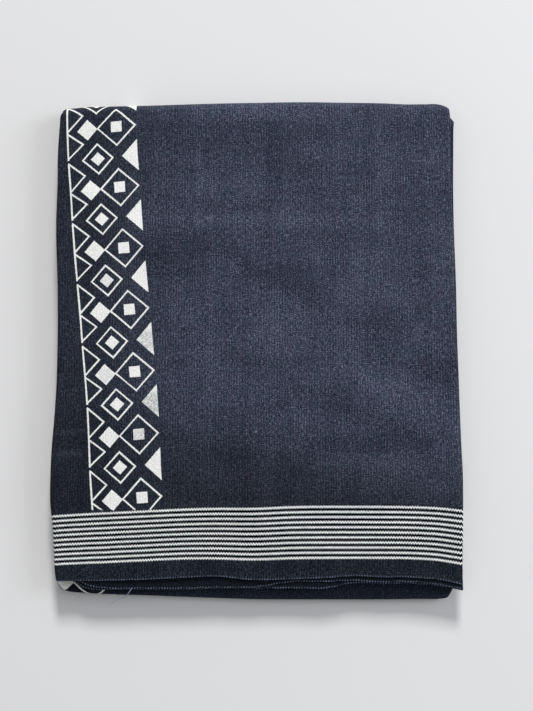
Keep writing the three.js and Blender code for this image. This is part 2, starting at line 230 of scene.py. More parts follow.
def top_height(x, y):
    """Height of the top of the stack."""
    height = STACK_HEIGHT - FRONT_DROP * ease(y, SLOPE_START, SLOPE_END) + wrinkles(x, y)
    for cx, cy, heading, half_length, half_width, rise in zip(*SWELLS.values()):
        turn = math.radians(heading)
        along = ((x - cx) * math.cos(turn) + (y - cy) * math.sin(turn)) / half_length
        across = ((y - cy) * math.cos(turn) - (x - cx) * math.sin(turn)) / half_width
        height = height + rise * np.exp(-along * along - across * across)
    return height


print("top from %.2f to %.2f mm" % (top_height(-48, 66), top_height(104, -30)))

# %% [markdown]
# The path of the cloth through the stack
#
# Follow the cloth from the selvedge that shows at the front. Level 1 runs to the back, turns over
# the back fold into level 4 on the table, turns up round the front roll into level 3, and at a small
# hidden bend into level 2, which ends in the other selvedge. A point is given by its place across
# (x), its place along the cloth, and its depth below the outer face. Each stretch is one short
# function of those three, so every layer nests in the next and none can cross another.

# %% The path
SELVEDGE, LAST_STRIPE, FIRST_STRIPE, TOP_END = -144.0, -131.6, -100.2, 150.5
BACK_LENGTH, UNDER_LENGTH, ROLL_LENGTH = 22.2, 300, 14.3
THIRD_LENGTH, BEND_LENGTH, SECOND_LENGTH = 296, 8, 292
UNDER_START = TOP_END + BACK_LENGTH
ROLL_START = UNDER_START + UNDER_LENGTH
THIRD_START = ROLL_START + ROLL_LENGTH
BEND_START = THIRD_START + THIRD_LENGTH
SECOND_START = BEND_START + BEND_LENGTH


def back_middle(x):
    return curve(BACK_EDGE, "x", x, "y") - BACK_REACH


def roll_middle(x):
    return at_front("roll", x) + ROLL_REACH


FRAYING = {"top": 0, "second": 1, "third": -1}
FRAY_SIZE = 0.2
INNER_INSET = 1.3  # the inner layers end this far behind the third leaf
SECOND_LEVEL_INSET = 2.6  # and those of level 2 further still


def leaf_edge(level, x, depth):
    """Where the layer at a depth ends at the front, in level 1 or level 2."""
    x = np.broadcast_to(x, np.shape(depth))
    inner = at_front("third", x)
    frayed = FRAY_SIZE * np.sin(x / 1.7) * np.sin(x / 13 + 1)
    edges = [at_front(name, x) + share * frayed for name, share in FRAYING.items()]
    if level == 2:
        inner = inner + SECOND_LEVEL_INSET
        edges = []
    for layer in range(len(edges), LAYERS):
        wander = 0.7 * np.sin(x / 23 + 2.4 * layer + level) + 0.4 * np.sin(x / 9.1 + 1.7 * layer)
        edges.append(inner + INNER_INSET + wander)
    edges = np.array(edges)
    place = np.clip(depth / PITCH - 0.5, 0, LAYERS - 1.001)
    low = place.astype(int)
    step = ease(place - low, 0.36, 0.64)  # no step within a layer, all of it between two
    column = np.arange(len(low))
    return edges[low, column] * (1 - step) + edges[low + 1, column] * step


def lie(x, along):
    """y of the top leaf at a place along the cloth, so that the woven stripes lie as they do."""
    rows = [SELVEDGE, LAST_STRIPE, FIRST_STRIPE, TOP_END]
    places = [at_front(name, x) for name in ("top", "last", "first")] + [back_middle(x)]
    low = int(np.clip(np.searchsorted(rows, along, side="right") - 1, 0, 2))
    share = (along - rows[low]) / (rows[low + 1] - rows[low])
    return places[low] * (1 - share) + places[low + 1] * share


# Each stretch gives y, height and level, then how far along the cloth it is.
def level_1(x, share, depth):
    along = SELVEDGE + share * (TOP_END - SELVEDGE)
    own_edge = leaf_edge(1, x, depth) - leaf_edge(1, x, np.zeros_like(depth))
    y = lie(x, along) + own_edge * (1 - ease(along, SELVEDGE, FIRST_STRIPE))
    return y, STACK_HEIGHT - depth, 1, along


def back_bend(x, share, depth):
    angle = math.pi * (0.5 - share)
    y = back_middle(x) + (BACK_REACH - depth) * math.cos(angle)
    z = STACK_HEIGHT / 2 + (STACK_HEIGHT / 2 - depth) * math.sin(angle)
    return y, z, 1 + 3 * share, TOP_END + share * BACK_LENGTH


def level_4(x, share, depth):
    y = back_middle(x) * (1 - share) + roll_middle(x) * share
    return y, depth * 1.0, 4, UNDER_START + share * UNDER_LENGTH


def front_roll(x, share, depth):
    angle = math.pi * (share - 0.5)
    y = roll_middle(x) - (ROLL_REACH - depth) * math.cos(angle)
    z = LEVEL_HEIGHT + (LEVEL_HEIGHT - depth) * math.sin(angle)
    return y, z, 4 - share, ROLL_START + share * ROLL_LENGTH


def level_3(x, share, depth):
    y = roll_middle(x) * (1 - share) + back_middle(x) * share
    return y, 2 * LEVEL_HEIGHT - depth, 3, THIRD_START + share * THIRD_LENGTH


BEND_REACH = 0.45  # how far the hidden bend reaches back, as a share of its half height


def hidden_bend(x, share, depth):
    angle = math.pi * (share - 0.5)
    y = back_middle(x) + BEND_REACH * depth * math.cos(angle)
    return y, 2 * LEVEL_HEIGHT + depth * math.sin(angle), 3 - share, BEND_START + share * BEND_LENGTH


def level_2(x, share, depth):
    y = back_middle(x) * (1 - share) + leaf_edge(2, x, depth) * share
    return y, 2 * LEVEL_HEIGHT + depth, 2, SECOND_START + share * SECOND_LENGTH


LEVEL_INSET = {"left": 0.5, "right": 0.3}
LEVEL_WAVES = {
    "left": table("size length turn", (0.45, 31, 2.3), (0.2, 11.7, 4.1)),
    "right": table("size length turn", (0.45, 27, 1.9), (0.2, 12.9, 3.3)),
}


def level_inset(side, y, level):
    """How far a lower level's side fold lies inside the top one's."""
    inset = LEVEL_INSET[side]
    for size, length, turn in zip(*LEVEL_WAVES[side].values()):
        inset += size * math.sin(y / length + turn * level)
    return inset


def side_folds(y, z, level):
    """Left and right fold of the stack at a place; each level wanders a little on its own."""
    lower = 1 - ease(z, LEVEL_HEIGHT, 3 * LEVEL_HEIGHT)
    left = at_side("left", y) * (1 - lower) + at_side("lower_left", y) * lower
    right = at_side("right", y) * (1 - lower) + at_side("lower_right", y) * lower
    own = min(1.0, level - 1)
    left -= own * level_inset("left", y, level)
    right -= own * level_inset("right", y, level)
    return -HALF_WIDTH - left, HALF_WIDTH + right


SAG_START, SAG_END = -128, -152


def settle(x, y, z, level, depth):
    """Lets the even stack sink to its real height, and the leaves under the top one sag at the front."""
    share = np.clip((z - LEVEL_HEIGHT) / (STACK_HEIGHT - LEVEL_HEIGHT), 0, 1)
    sink = STACK_HEIGHT - top_height(x, y)
    under = ease(depth, PITCH / 2, 1.5 * PITCH) if level < 1.5 else 1
    sag = at_front("gap", x) * (1 - ease(y, SAG_END, SAG_START)) * under
    return z - share * (sink + sag)


print("cloth from selvedge to selvedge: %.0f mm" % (level_2(np.zeros(1), 1, np.ones(1))[3] - SELVEDGE))

# %% [markdown]
# The section across: a snake of layers
#
# Across the stack the cloth runs like a snake: from its cut end under everything, round the left
# fold to the top, round the right fold, and so on until the other cut end. Layers are numbered from
# the outer face, 1 to 8. A section is a list of places, each measured from the left or right fold,
# with its depth. Half ellipses join the layers at the folds, and an outer fold wraps the inner ones.

# %% The section across
FOLD_STEPS = 8
FLAT_STEP, COARSE_STEP = 1.8, 3.0
FOLD_REACH = 0.58  # how far a fold bulges, as a share of its height
CUT_ENDS = {7: ("right", 0.9), 8: ("right", 0.4)}  # where the two layers with cut ends stop


def layer_depth(layer):
    return (layer - 0.5) * PITCH


def fold_inset(side, a, b):
    """How far inside the outermost fold this one's crest lies."""
    nest = min(a, b) - 1 if side == "left" else (min(a, b) - 1) % 4
    return nest * PITCH + CLOTH / 2


def flat_run(layer, start, end, step):
    """Places along a layer between two (side, inset) pairs."""
    (side_a, inset_a), (side_b, inset_b) = start, end
    anchor_a, anchor_b = (0 if side == "left" else 1 for side in (side_a, side_b))
    shift_a = inset_a if side_a == "left" else -inset_a
    shift_b = inset_b if side_b == "left" else -inset_b
    length = abs(2 * HALF_WIDTH * (anchor_b - anchor_a) + shift_b - shift_a)
    count = max(2, round(length / step))
    share = np.linspace(0, 1, count + 1)
    return np.stack([
        anchor_a + (anchor_b - anchor_a) * share,
        shift_a + (shift_b - shift_a) * share,
        np.full(count + 1, layer_depth(layer)),
    ], axis=1)


def fold_run(side, a, b, inset, reach):
    """The half ellipse of a fold from layer a to layer b."""
    angle = np.linspace(-90, 90, FOLD_STEPS + 1)[1:-1] * math.pi / 180
    middle, radius = (layer_depth(a) + layer_depth(b)) / 2, (layer_depth(b) - layer_depth(a)) / 2
    shift = inset + reach * (1 - np.cos(angle))
    return np.stack([
        np.full(len(angle), 0.0 if side == "left" else 1.0),
        shift if side == "left" else -shift,
        middle + radius * np.sin(angle),
    ], axis=1)


def snake(layers, first, last, turn="left", step=FLAT_STEP):
    """A section through these layers in turn, from one (side, inset) to another."""
    parts, start, side = [], first, turn
    for a, b in zip(layers, layers[1:]):
        reach = FOLD_REACH * PITCH * abs(a - b)
        inset = fold_inset(side, a, b)
        parts.append(flat_run(a, start, (side, inset + reach), step))
        parts.append(fold_run(side, a, b, inset, reach))
        start = (side, inset + reach)
        side = "right" if side == "left" else "left"
    parts.append(flat_run(layers[-1], start, last, step))
    return np.concatenate(parts)


# %% [markdown]
# Where the print runs
#
# The printed band was stamped a little askew and the cloth was folded a little askew, so the band
# leans on top and bends slightly. The table gives, along the cloth, where the line on the band's
# left lies, how far along the print that is (q) and how much the motifs turn. A straight band would
# be simpler, but its motifs would soon be millimetres from their places.

# %% Where the print runs
PRINT_PATH = table(
    "along x q turn",
    (-150, -98.5, 271.1, 0.02), (-95, -101.9, 215.6, 0.03), (-74.9, -103.4, 195.4, 0.034),
    (-54.8, -104.4, 174.9, 0.038), (-34.7, -105.6, 154.8, 0.043), (-15.6, -107.3, 135.2, 0.047),
    (4.5, -109.3, 114.9, 0.051), (22.6, -110.9, 96.75, 0.055), (42.7, -113.0, 76.4, 0.059),
    (62.8, -115.0, 56.1, 0.063), (82.9, -116.7, 35.8, 0.068), (101.0, -118.0, 17.3, 0.072),
    (122.1, -119.8, -4.2, 0.077), (139.2, -120.7, -21.5, 0.08), (152.2, -121.1, -34.7, 0.08),
    (174.2, -121.5, -56.8, 0.08), (477, -132.5, -362.4, 0.08), (800, -147, -686.5, 0.08),
)


def print_place(u, along):
    """p across the printed band and q along it; the print leans a little against the weft."""
    from_line = u - curve(PRINT_PATH, "along", along, "x")
    q = np.interp(along, PRINT_PATH["along"], PRINT_PATH["q"])
    return from_line, q + from_line * curve(PRINT_PATH, "along", along, "turn")


print("the print's line lies from x = %.1f to %.1f on top" % tuple(PRINT_PATH["x"][[1, 14]]))

# %% [markdown]
# From a path and a section to a mesh
#
# A ribbon is the section carried along a stretch of the path: a grid of points, once for the cloth's
# outer face and once for its inner one, closed all round. Blender's Solidify modifier could add the
# thickness, but it pushes points out of a tight fold unevenly; offsetting the section before it is
# swept keeps the cloth equally thick everywhere. Each point also remembers where it is on the cloth,
# so the weave, the stripes and the print run round every fold as they do on real cloth.

# %% Ribbons
SHARP_ANGLE = math.radians(50)


def object_from(name, data):
    """An object of this mesh, curve, lamp or camera, in the scene."""
    made = bpy.data.objects.new(name, data)
    bpy.context.scene.collection.objects.link(made)
    return made


def piece_from(name, vertices, faces, material, attributes=None):
    """A mesh object from points in millimetres, smooth except at real edges."""
    mesh = bpy.data.meshes.new(name)
    mesh.from_pydata((np.asarray(vertices) * MM).tolist(), [], faces)
    for label, values in (attributes or {}).items():
        attribute = mesh.attributes.new(label, "FLOAT_VECTOR", "POINT")
        attribute.data.foreach_set("vector", np.asarray(values, np.float32).ravel())
    mesh.shade_smooth()
    mesh.set_sharp_from_angle(angle=SHARP_ANGLE)
    mesh.materials.append(material)
    print(name, len(mesh.vertices), "points", len(mesh.polygons), "faces")
    return object_from(name, mesh)


def outward(section):
    """Unit normals of a section, on the side that is outside on layer 1."""
    x = section[:, 0] * 2 * HALF_WIDTH + section[:, 1]
    dx, dd = np.gradient(x), np.gradient(section[:, 2])
    length = np.hypot(dx, dd)
    return dd / length, -dx / length


def ribbon_grid(section, rows, tuck=0.0):
    """Points and cloth places of a section carried along rows of (stretch, share)."""
    across, deeper = outward(section)
    nominal = section[:, 0] * 2 * HALF_WIDTH + section[:, 1] - HALF_WIDTH
    steps = np.hypot(np.diff(nominal), np.diff(section[:, 2]))
    arc = np.concatenate([[0], np.cumsum(steps)])
    arc -= np.interp(0, *zip(*sorted(zip(nominal, arc))))  # u is 0 in the middle of the top
    points, cloth, printed = [], [], []
    zero = np.zeros(1)
    for stretch, share in rows:
        y0, z0, level, _ = stretch(zero, share, zero)
        left, right = side_folds(float(y0[0]), float(np.ravel(z0)[0]), level)
        right -= tuck * at_side("tuck", float(y0[0]))
        for face in (0.5, -0.5):
            depth = section[:, 2] + face * CLOTH * deeper
            x = left * (1 - section[:, 0]) + right * section[:, 0] + section[:, 1] + face * CLOTH * across
            y, z, level, along = stretch(x, share, depth)
            z = settle(x, y, z, level, depth)
            points.append(np.stack([x, y, np.maximum(z, 0)], axis=1) + ORIGIN)
            u = arc + (left + HALF_WIDTH) * (1 - section[:, 0]) + (right - HALF_WIDTH) * section[:, 0]
            cloth.append(np.stack([u, np.full(len(u), float(along)), np.zeros(len(u))], axis=1))
            p, q = print_place(u, float(along))
            printed.append(np.stack([p, q * np.ones(len(u)), np.zeros(len(u))], axis=1))
    return np.array(points), np.array(cloth), np.array(printed)


def ribbon_faces(rows, columns):
    """Quads of the outer and inner face, and of the four edges."""
    def at(row, face, column):
        return (2 * row + face) * columns + column

    faces = []
    for row in range(rows - 1):
        for c in range(columns - 1):
            faces.append((at(row, 0, c), at(row, 0, c + 1), at(row + 1, 0, c + 1), at(row + 1, 0, c)))
            faces.append((at(row, 1, c), at(row + 1, 1, c), at(row + 1, 1, c + 1), at(row, 1, c + 1)))
        end = columns - 1
        faces.append((at(row, 0, 0), at(row + 1, 0, 0), at(row + 1, 1, 0), at(row, 1, 0)))
        faces.append((at(row, 0, end), at(row, 1, end), at(row + 1, 1, end), at(row + 1, 0, end)))
    for c in range(columns - 1):
        last = rows - 1
        faces.append((at(0, 0, c), at(0, 1, c), at(0, 1, c + 1), at(0, 0, c + 1)))
        faces.append((at(last, 0, c), at(last, 0, c + 1), at(last, 1, c + 1), at(last, 1, c)))
    return faces


def ribbon(name, section, rows, material, **how):
    """A length of cloth as one closed mesh."""
    points, cloth, printed = ribbon_grid(section, rows, **how)
    faces = ribbon_faces(len(rows), len(section))
    places = {"cloth": cloth.reshape(-1, 3), "print": printed.reshape(-1, 3)}
    return piece_from(name, points.reshape(-1, 3), faces, material, places)


def rows_of(stretch, count, start=0.0, end=1.0):
    """Even rows along a stretch, from one share of it to another."""
    return [(stretch, start + (end - start) * i / count) for i in range(count + 1)]


# %% [markdown]
# Shader maths
#
# The cloth's colours are sums and products of simple fields: waves, noise, distances. Written with
# Blender's nodes that is dozens of boxes, so this small class wraps a socket and lets Python's own
# + - * / add the Math nodes. Every other node comes from its one method, node().

# %% Shader maths
class Shade:
    """A socket of a material, or with no socket the material itself, where new nodes start."""

    def __init__(self, tree, socket=None):
        self.tree = tree
        self.socket = socket

    def node(self, kind, settings=None, inputs=None, output=0):
        made = self.tree.nodes.new("ShaderNode" + kind)
        for name, value in (settings or {}).items():
            if name == "stops":
                for place, colour in value:
                    first = made.color_ramp.elements[0]
                    stop = first if place == value[0][0] else made.color_ramp.elements.new(place)
                    stop.position, stop.color = place, colour
                made.color_ramp.elements.remove(made.color_ramp.elements[-1])
            else:
                setattr(made, name, value)
        for name, value in (inputs or {}).items():
            if isinstance(value, Shade):
                self.tree.links.new(value.socket, made.inputs[name])
            else:
                made.inputs[name].default_value = value
        return Shade(self.tree, made.outputs[output])

    def math(self, operation, *values):
        return self.node("Math", {"operation": operation}, dict(enumerate(values)))

    def __add__(self, other):
        return self.math("ADD", self, other)

    def __sub__(self, other):
        return self.math("SUBTRACT", self, other)

    def __rsub__(self, other):
        return self.math("SUBTRACT", other, self)

    def __mul__(self, other):
        return self.math("MULTIPLY", self, other)

    def __truediv__(self, other):
        return self.math("DIVIDE", self, other)

    __radd__ = __add__
    __rmul__ = __mul__

    def __abs__(self):
        return self.math("ABSOLUTE", self)

    def least(self, other):
        return self.math("MINIMUM", self, other)

    def most(self, other):
        return self.math("MAXIMUM", self, other)

    def clamp(self):
        return self.node("Clamp", {}, {0: self})

    def sine(self):
        return self.math("SINE", self)

    def wrap(self, length):
        """Distance to the nearest multiple of length."""
        return self.math("WRAP", self, length / 2, -length / 2)

    def ease(self, start, end):
        """0 at start, 1 at end, with a soft S between them."""
        settings = {"interpolation_type": "SMOOTHSTEP"}
        return self.node("MapRange", settings, {0: self, 1: start, 2: end, 3: 0.0, 4: 1.0})

    def pick(self, at_zero, at_one):
        """A colour between two, by this value."""
        return self.node("Mix", {"data_type": "RGBA"}, {0: self, 6: at_zero, 7: at_one}, output=2)

    def noise(self, x, y, scale_x, scale_y, shift=0.0, detail=0.0):
        """Noise around 0, of about one bump for each unit of x * scale_x and y * scale_y."""
        place = self.node("CombineXYZ", {}, {0: x * scale_x, 1: y * scale_y, 2: shift})
        field = self.node("TexNoise", {}, {"Vector": place, "Scale": 1.0, "Detail": detail})
        return field - 0.5


def linear(red, green, blue):
    """A colour given as it looks on a screen, 0 to 255, as the light values that a shader needs."""
    levels = [value / 255 for value in (red, green, blue)]
    return tuple(v / 12.92 if v <= 0.04045 else ((v + 0.055) / 1.055) ** 2.4 for v in levels) + (1.0,)


def set_inputs(node, values):
    for name, value in values.items():
        node.inputs[name].default_value = value


def new_material(name):
    """A material and its Principled shader."""
    material = bpy.data.materials.new(name)
    material.use_nodes = True
    return material, material.node_tree.nodes["Principled BSDF"]


# %% [markdown]
# Handloom cotton
#
# The cloth is a plain weave of navy yarns, coarse enough to see. The warp runs across, along the
# stripes. The weft runs from front to back in pairs of yarns, which makes faint ribs 1.67 mm apart.
# Uneven, hand-spun yarn gives the rest: fine grain, short pale dashes along either yarn, slow bands
# where a yarn changes and broad blotches where the dye took unevenly. An image texture would repeat;
# sums of noise don't. The same fields drive the bump and the roughness, because a fat yarn is both
# paler and higher. A few thick yarns are listed in one table; another lists paler and darker patches
# along the creases and swells, which are painted light and shade.

# %% The weave
YARN = 0.833  # one weft yarn to the next

YARN_FIELDS = table(
    "per_u per_v shift paler higher",
    (1.7, 1.5, 7, 1.3, 0.7),  # grain
    (1.5, 0.4, 1, 0.7, 0.8),  # weft
    (0.4, 1.5, 3, 0.5, 0.6),  # warp
    (0.8, 0.07, 13, 0.2, 0.2),  # slubs, the long thick places of a yarn
)
PURPLE_NAVY = [(0.12, (24, 26, 38)), (0.42, (49, 51, 68)), (0.66, (69, 71, 90)), (0.95, (108, 111, 131))]
TEAL_NAVY = [(0.12, (21, 27, 37)), (0.42, (42, 50, 64)), (0.66, (61, 70, 86)), (0.95, (100, 111, 127))]
CHARCOAL = [(0.12, (6, 9, 14)), (0.5, (20, 25, 32)), (0.95, (58, 64, 76))]

THICK_YARNS = table(
    "u v half_u half_v strength",
    (-28.3, 14.0, 4.0, 80, 0.035),
    (103.0, 117.8, 8.5, 0.4, 0.2),
    (-0.2, -53.0, 1.0, 0.8, 0.9),
    (11.0, 118.0, 8.0, 34, -0.05),
)
# Painted light and shade along the creases and swells: paler where strength is above 0, darker below.
PAINTED_CREASE_SHADING = table(
    "u v heading half_length half_width strength",
    (10, 79.5, -2, 110, 7, 0.045),
    (-52, 58, 0, 34, 17, -0.09),
    (10, 47, -29, 58, 13, -0.075),
    (8, 12, -8, 52, 24, 0.03),
    (74, 40, 10, 32, 26, 0.045),
    (90, -30, -21, 64, 9, 0.05),
    (110, -12, -20, 32, 14, -0.07),
    (42, -37, -28, 26, 11, -0.045),
    (86, -54, -24, 30, 10, -0.06),
    (-18, -67, 0, 28, 13, -0.07),
    (58, -62, -2, 42, 6, -0.08),
    (70, -76, 0, 42, 12, 0.07),
    (-25, 134, 0, 84, 14, -0.06),
    (20, 150, 0, 150, 8, 0.04),
    (-20, 99, 0, 38, 12, 0.03),
    (-118, -49.5, 0, 14, 3, 0.16),
    (-118, -62, 0, 14, 3, 0.2),
)


def stops_of(rows):
    return [(place, linear(*colour)) for place, colour in rows]


def weave(shade, u, v):
    """Brightness of the yarns, 0 to 1, with painted light and shade along the creases, and their height."""
    shake_u = u + 0.5 * shade.noise(u, v, 0.21, 0.13, 5.0)
    rib = (shake_u * (math.pi / YARN)).sine() * (0.6 + 1.6 * shade.noise(u, v, 0.05, 0.08, 9.0))
    bands = shade.noise(u, v, 0.22, 0.004, 51.0) + shade.noise(u, v, 0.003, 0.12, 57.0)
    blotch = shade.noise(u, v, 0.045, 0.03, 21.0, detail=2.0)
    bright, height = 0.5, 0.0
    for per_u, per_v, shift, paler, higher in zip(*YARN_FIELDS.values()):
        field = shade.noise(u, v, per_u, per_v, shift)
        bright = bright + paler * field
        height = height + higher * field
    bright = bright + 0.13 * rib + 0.3 * blotch + 0.1 * bands
    height = height + 0.3 * rib
    for at_u, at_v, half_u, half_v, strength in zip(*THICK_YARNS.values()):
        yarn = strength * abs(u - at_u).ease(half_u, 0.3 * half_u)
        bright = bright + yarn * abs(v - at_v).ease(half_v, 0.6 * half_v)
    # painted light and shade along the creases
    for at_u, at_v, heading, half_length, half_width, strength in zip(*PAINTED_CREASE_SHADING.values()):
        turn = math.radians(heading)
        along = ((u - at_u) * math.cos(turn) + (v - at_v) * math.sin(turn)) / half_length
        across = ((v - at_v) * math.cos(turn) - (u - at_u) * math.sin(turn)) / half_width
        bright = bright + strength * (along * along + across * across).ease(1.0, 0.0)
    return bright, height


# %% [markdown]
# The woven stripes and the selvedge
#
# Eleven white stripes lie along one side, each of a few white warp yarns packed so close that the
# dark weft only nips their edges: that gives the little teeth. Between the last stripe and the
# selvedge the warp is black, so that strip is charcoal rather than navy. At the selvedge the pale
# weft turns back on itself and shows as ticks. All are functions of the place along the cloth.

# %% Stripes and selvedge
STRIPES = 11
STRIPE_PITCH = (FIRST_STRIPE - LAST_STRIPE) / (STRIPES - 1)
STRIPE_HALF = 0.5
STRIPE_SOFTNESS = 0.12
TOOTH_PITCH = 2 * YARN
TOOTH_DEPTH = 0.48


def stripe_masks(shade, u, v):
    """Masks of the white stripes, of the border that holds them and of the ticks at the edge."""
    middle = (FIRST_STRIPE + LAST_STRIPE) / 2
    reach = (FIRST_STRIPE - LAST_STRIPE) / 2
    from_stripe = (v - FIRST_STRIPE).wrap(STRIPE_PITCH)
    side = from_stripe.math("SIGN", from_stripe)
    wobble = 0.3 * shade.noise(u, v, 0.9, 0.5, 2.0)
    tooth = ((u * (2 * math.pi / TOOTH_PITCH)) + side * (math.pi / 2) + 3 * wobble).sine()
    white = STRIPE_HALF + TOOTH_DEPTH * tooth + 0.8 * wobble - abs(from_stripe)
    inside = (reach + STRIPE_PITCH / 2) - abs(v - middle)
    stripes = (white.least(inside) / STRIPE_SOFTNESS + 0.5).clamp()
    border = (v - (FIRST_STRIPE + 1.6)).ease(0.3, -0.3) * (v + 400).ease(0, 1)
    tick = ((u * (2 * math.pi / TOOTH_PITCH) + (v - SELVEDGE) * 1.5 + 4 * wobble).sine() + 0.1).ease(0, 0.7)
    patchy = (0.5 + 2.2 * shade.noise(u, v, 0.23, 0.9, 27.0, detail=1.0)).clamp()
    ticks = tick * patchy * (v - SELVEDGE + 0.5 * wobble).ease(1.1, 0.5)
    return stripes, border, ticks


# %% [markdown]
# The block print
#
# Near one end of the cloth a printer stamped a band of triangles, diamonds and squares in white, a
# wooden block about 4 cm long set down over and over. Each shape is a distance to its outline, more
# than 0 inside; the greatest of them all is the whole print, and one soft threshold turns it into
# ink. A texture image could do this, but distances stay sharp at any size. The block's ink is never
# even: it is mottled, its edges follow the yarns, and some shapes came out thin and grey.

# %% The block print
BLOCK = 39.05  # one block to the next
STROKE = 1.0
INK_SOFTNESS = 0.22
PRINT_END, END_TURN = 218.3, 0.075

DIAMONDS = table(
    "p q half_p half_q outlined",
    (13.1, 18.2, 6.45, 6.6, 0),
    (31.5, 18.0, 12.6, 12.5, 1),
    (18.95, 37.5, 10.2, 10.25, 1),
    (18.95, 37.5, 4.45, 4.4, 0),
)
LEFT_TRIANGLES = table("q half_p half_q", (8.55, 10.4, 9.9), (27.05, 10.4, 8.9))
SQUARE = {"p": 31.45, "q": 17.9, "half": 3.4}
RIGHT_TRIANGLE = {"p": 44.3, "q": 37.2, "half_p": 9.9, "half_q": 10.1}
LEFT_LINE = {"p": 0.4, "q": 17.7, "half_q": 18.4, "half_width": 0.52}
WORN = table(
    "p q reach strength",
    (41.5, 116.3, 8, 0.32),
    (41.0, 155.5, 9, 0.45),
    (32.0, 174.8, 5, 0.28),
    (13.0, 136.0, 6, 0.14),
    (18.5, 76.0, 8, 0.14),
)


def block_print(shade, p, q):
    """Ink of the print, 0 to 1, and how well it covers."""
    def diamond(row_p, row_q, half_p, half_q):
        spread = math.hypot(1 / half_p, 1 / half_q)
        return (1 - abs(p - row_p) / half_p - abs((q - row_q).wrap(BLOCK)) / half_q) / spread

    line = LEFT_LINE
    ink = (line["half_width"] - abs(p - line["p"])).least(line["half_q"] - abs((q - line["q"]).wrap(BLOCK)))
    for row_p, row_q, half_p, half_q, outlined in zip(*DIAMONDS.values()):
        shape = diamond(row_p, row_q, half_p, half_q)
        ink = ink.most(shape.least(STROKE - shape) if outlined else shape)
    for row_q, half_p, half_q in zip(*LEFT_TRIANGLES.values()):
        shape = diamond(line["p"], row_q, half_p, half_q)
        ink = ink.most(shape.least(STROKE - shape).least(p))
    across = SQUARE["half"] - abs(p - SQUARE["p"])
    ink = ink.most(across.least(SQUARE["half"] - abs((q - SQUARE["q"]).wrap(BLOCK))))
    right = RIGHT_TRIANGLE
    shape = diamond(right["p"], right["q"], right["half_p"], right["half_q"])
    ink = ink.most(shape.least(right["p"] + 0.1 - p))
    ragged = shade.noise(p, q, 0.9, 0.9, 4.0)
    ink = ink.least(PRINT_END + END_TURN * p + 1.5 * ragged - q)
    thin = shade.noise(p, q, 0.06, 0.06, 31.0)
    mask = ((ink + 0.32 * ragged + 0.25 * thin) / INK_SOFTNESS + 0.5).clamp()
    cover = 0.96 + 0.4 * shade.noise(p, q, 1.1, 1.1, 8.0, detail=2.0)
    for row_p, row_q, reach, strength in zip(*WORN.values()):
        spot = (1 - (abs(p - row_p).most(abs(q - row_q))) / reach).ease(0.0, 0.5)
        speckle = (shade.noise(p, q, 0.8, 0.8, 17.0, detail=3.0) + 0.06).ease(-0.14, 0.14)
        cover = cover - strength * spot * speckle
    return mask, cover.clamp()


# %% [markdown]
# The cloth's finish
#
# Cotton is matt, so the finish is nearly all Base Color. Two navies, a purplish and a greenish one,
# change places in patches. Painted shade darkens the field toward the front and in the margin beside
# the print, as on cloth that slopes away from the window, and more painted shade darkens the front
# roll. Lamps alone could do that, but the slopes are so low that they hardly change the light. Then
# come the border, the stripes, the ticks and the print, each laid over the last with its mask. Cloth
# between other layers gets little light, so the leaves and the inner layers carry painted shade too.

# %% Cloth material
# Painted shade: the field darker toward the front and in the margin beside the print.
FRONT_SHADE, MARGIN_SHADE = 0.58, 0.55
MARGIN_START, MARGIN_END = -40, -112
# Painted shade: the front roll, facing away from the window, turns toward a near-black blue.
ROLL_SHADE, ROLL_SHADE_START, ROLL_SHADE_END = 0.6, 455, 478
BETWEEN_SHADE = 0.92  # the dark weft between two white stripes
# Painted shade for cloth between other layers: the leaves and the inner layers are darkened copies.
LEAF_LIGHT, INNER_LIGHT = 0.33, 0.6


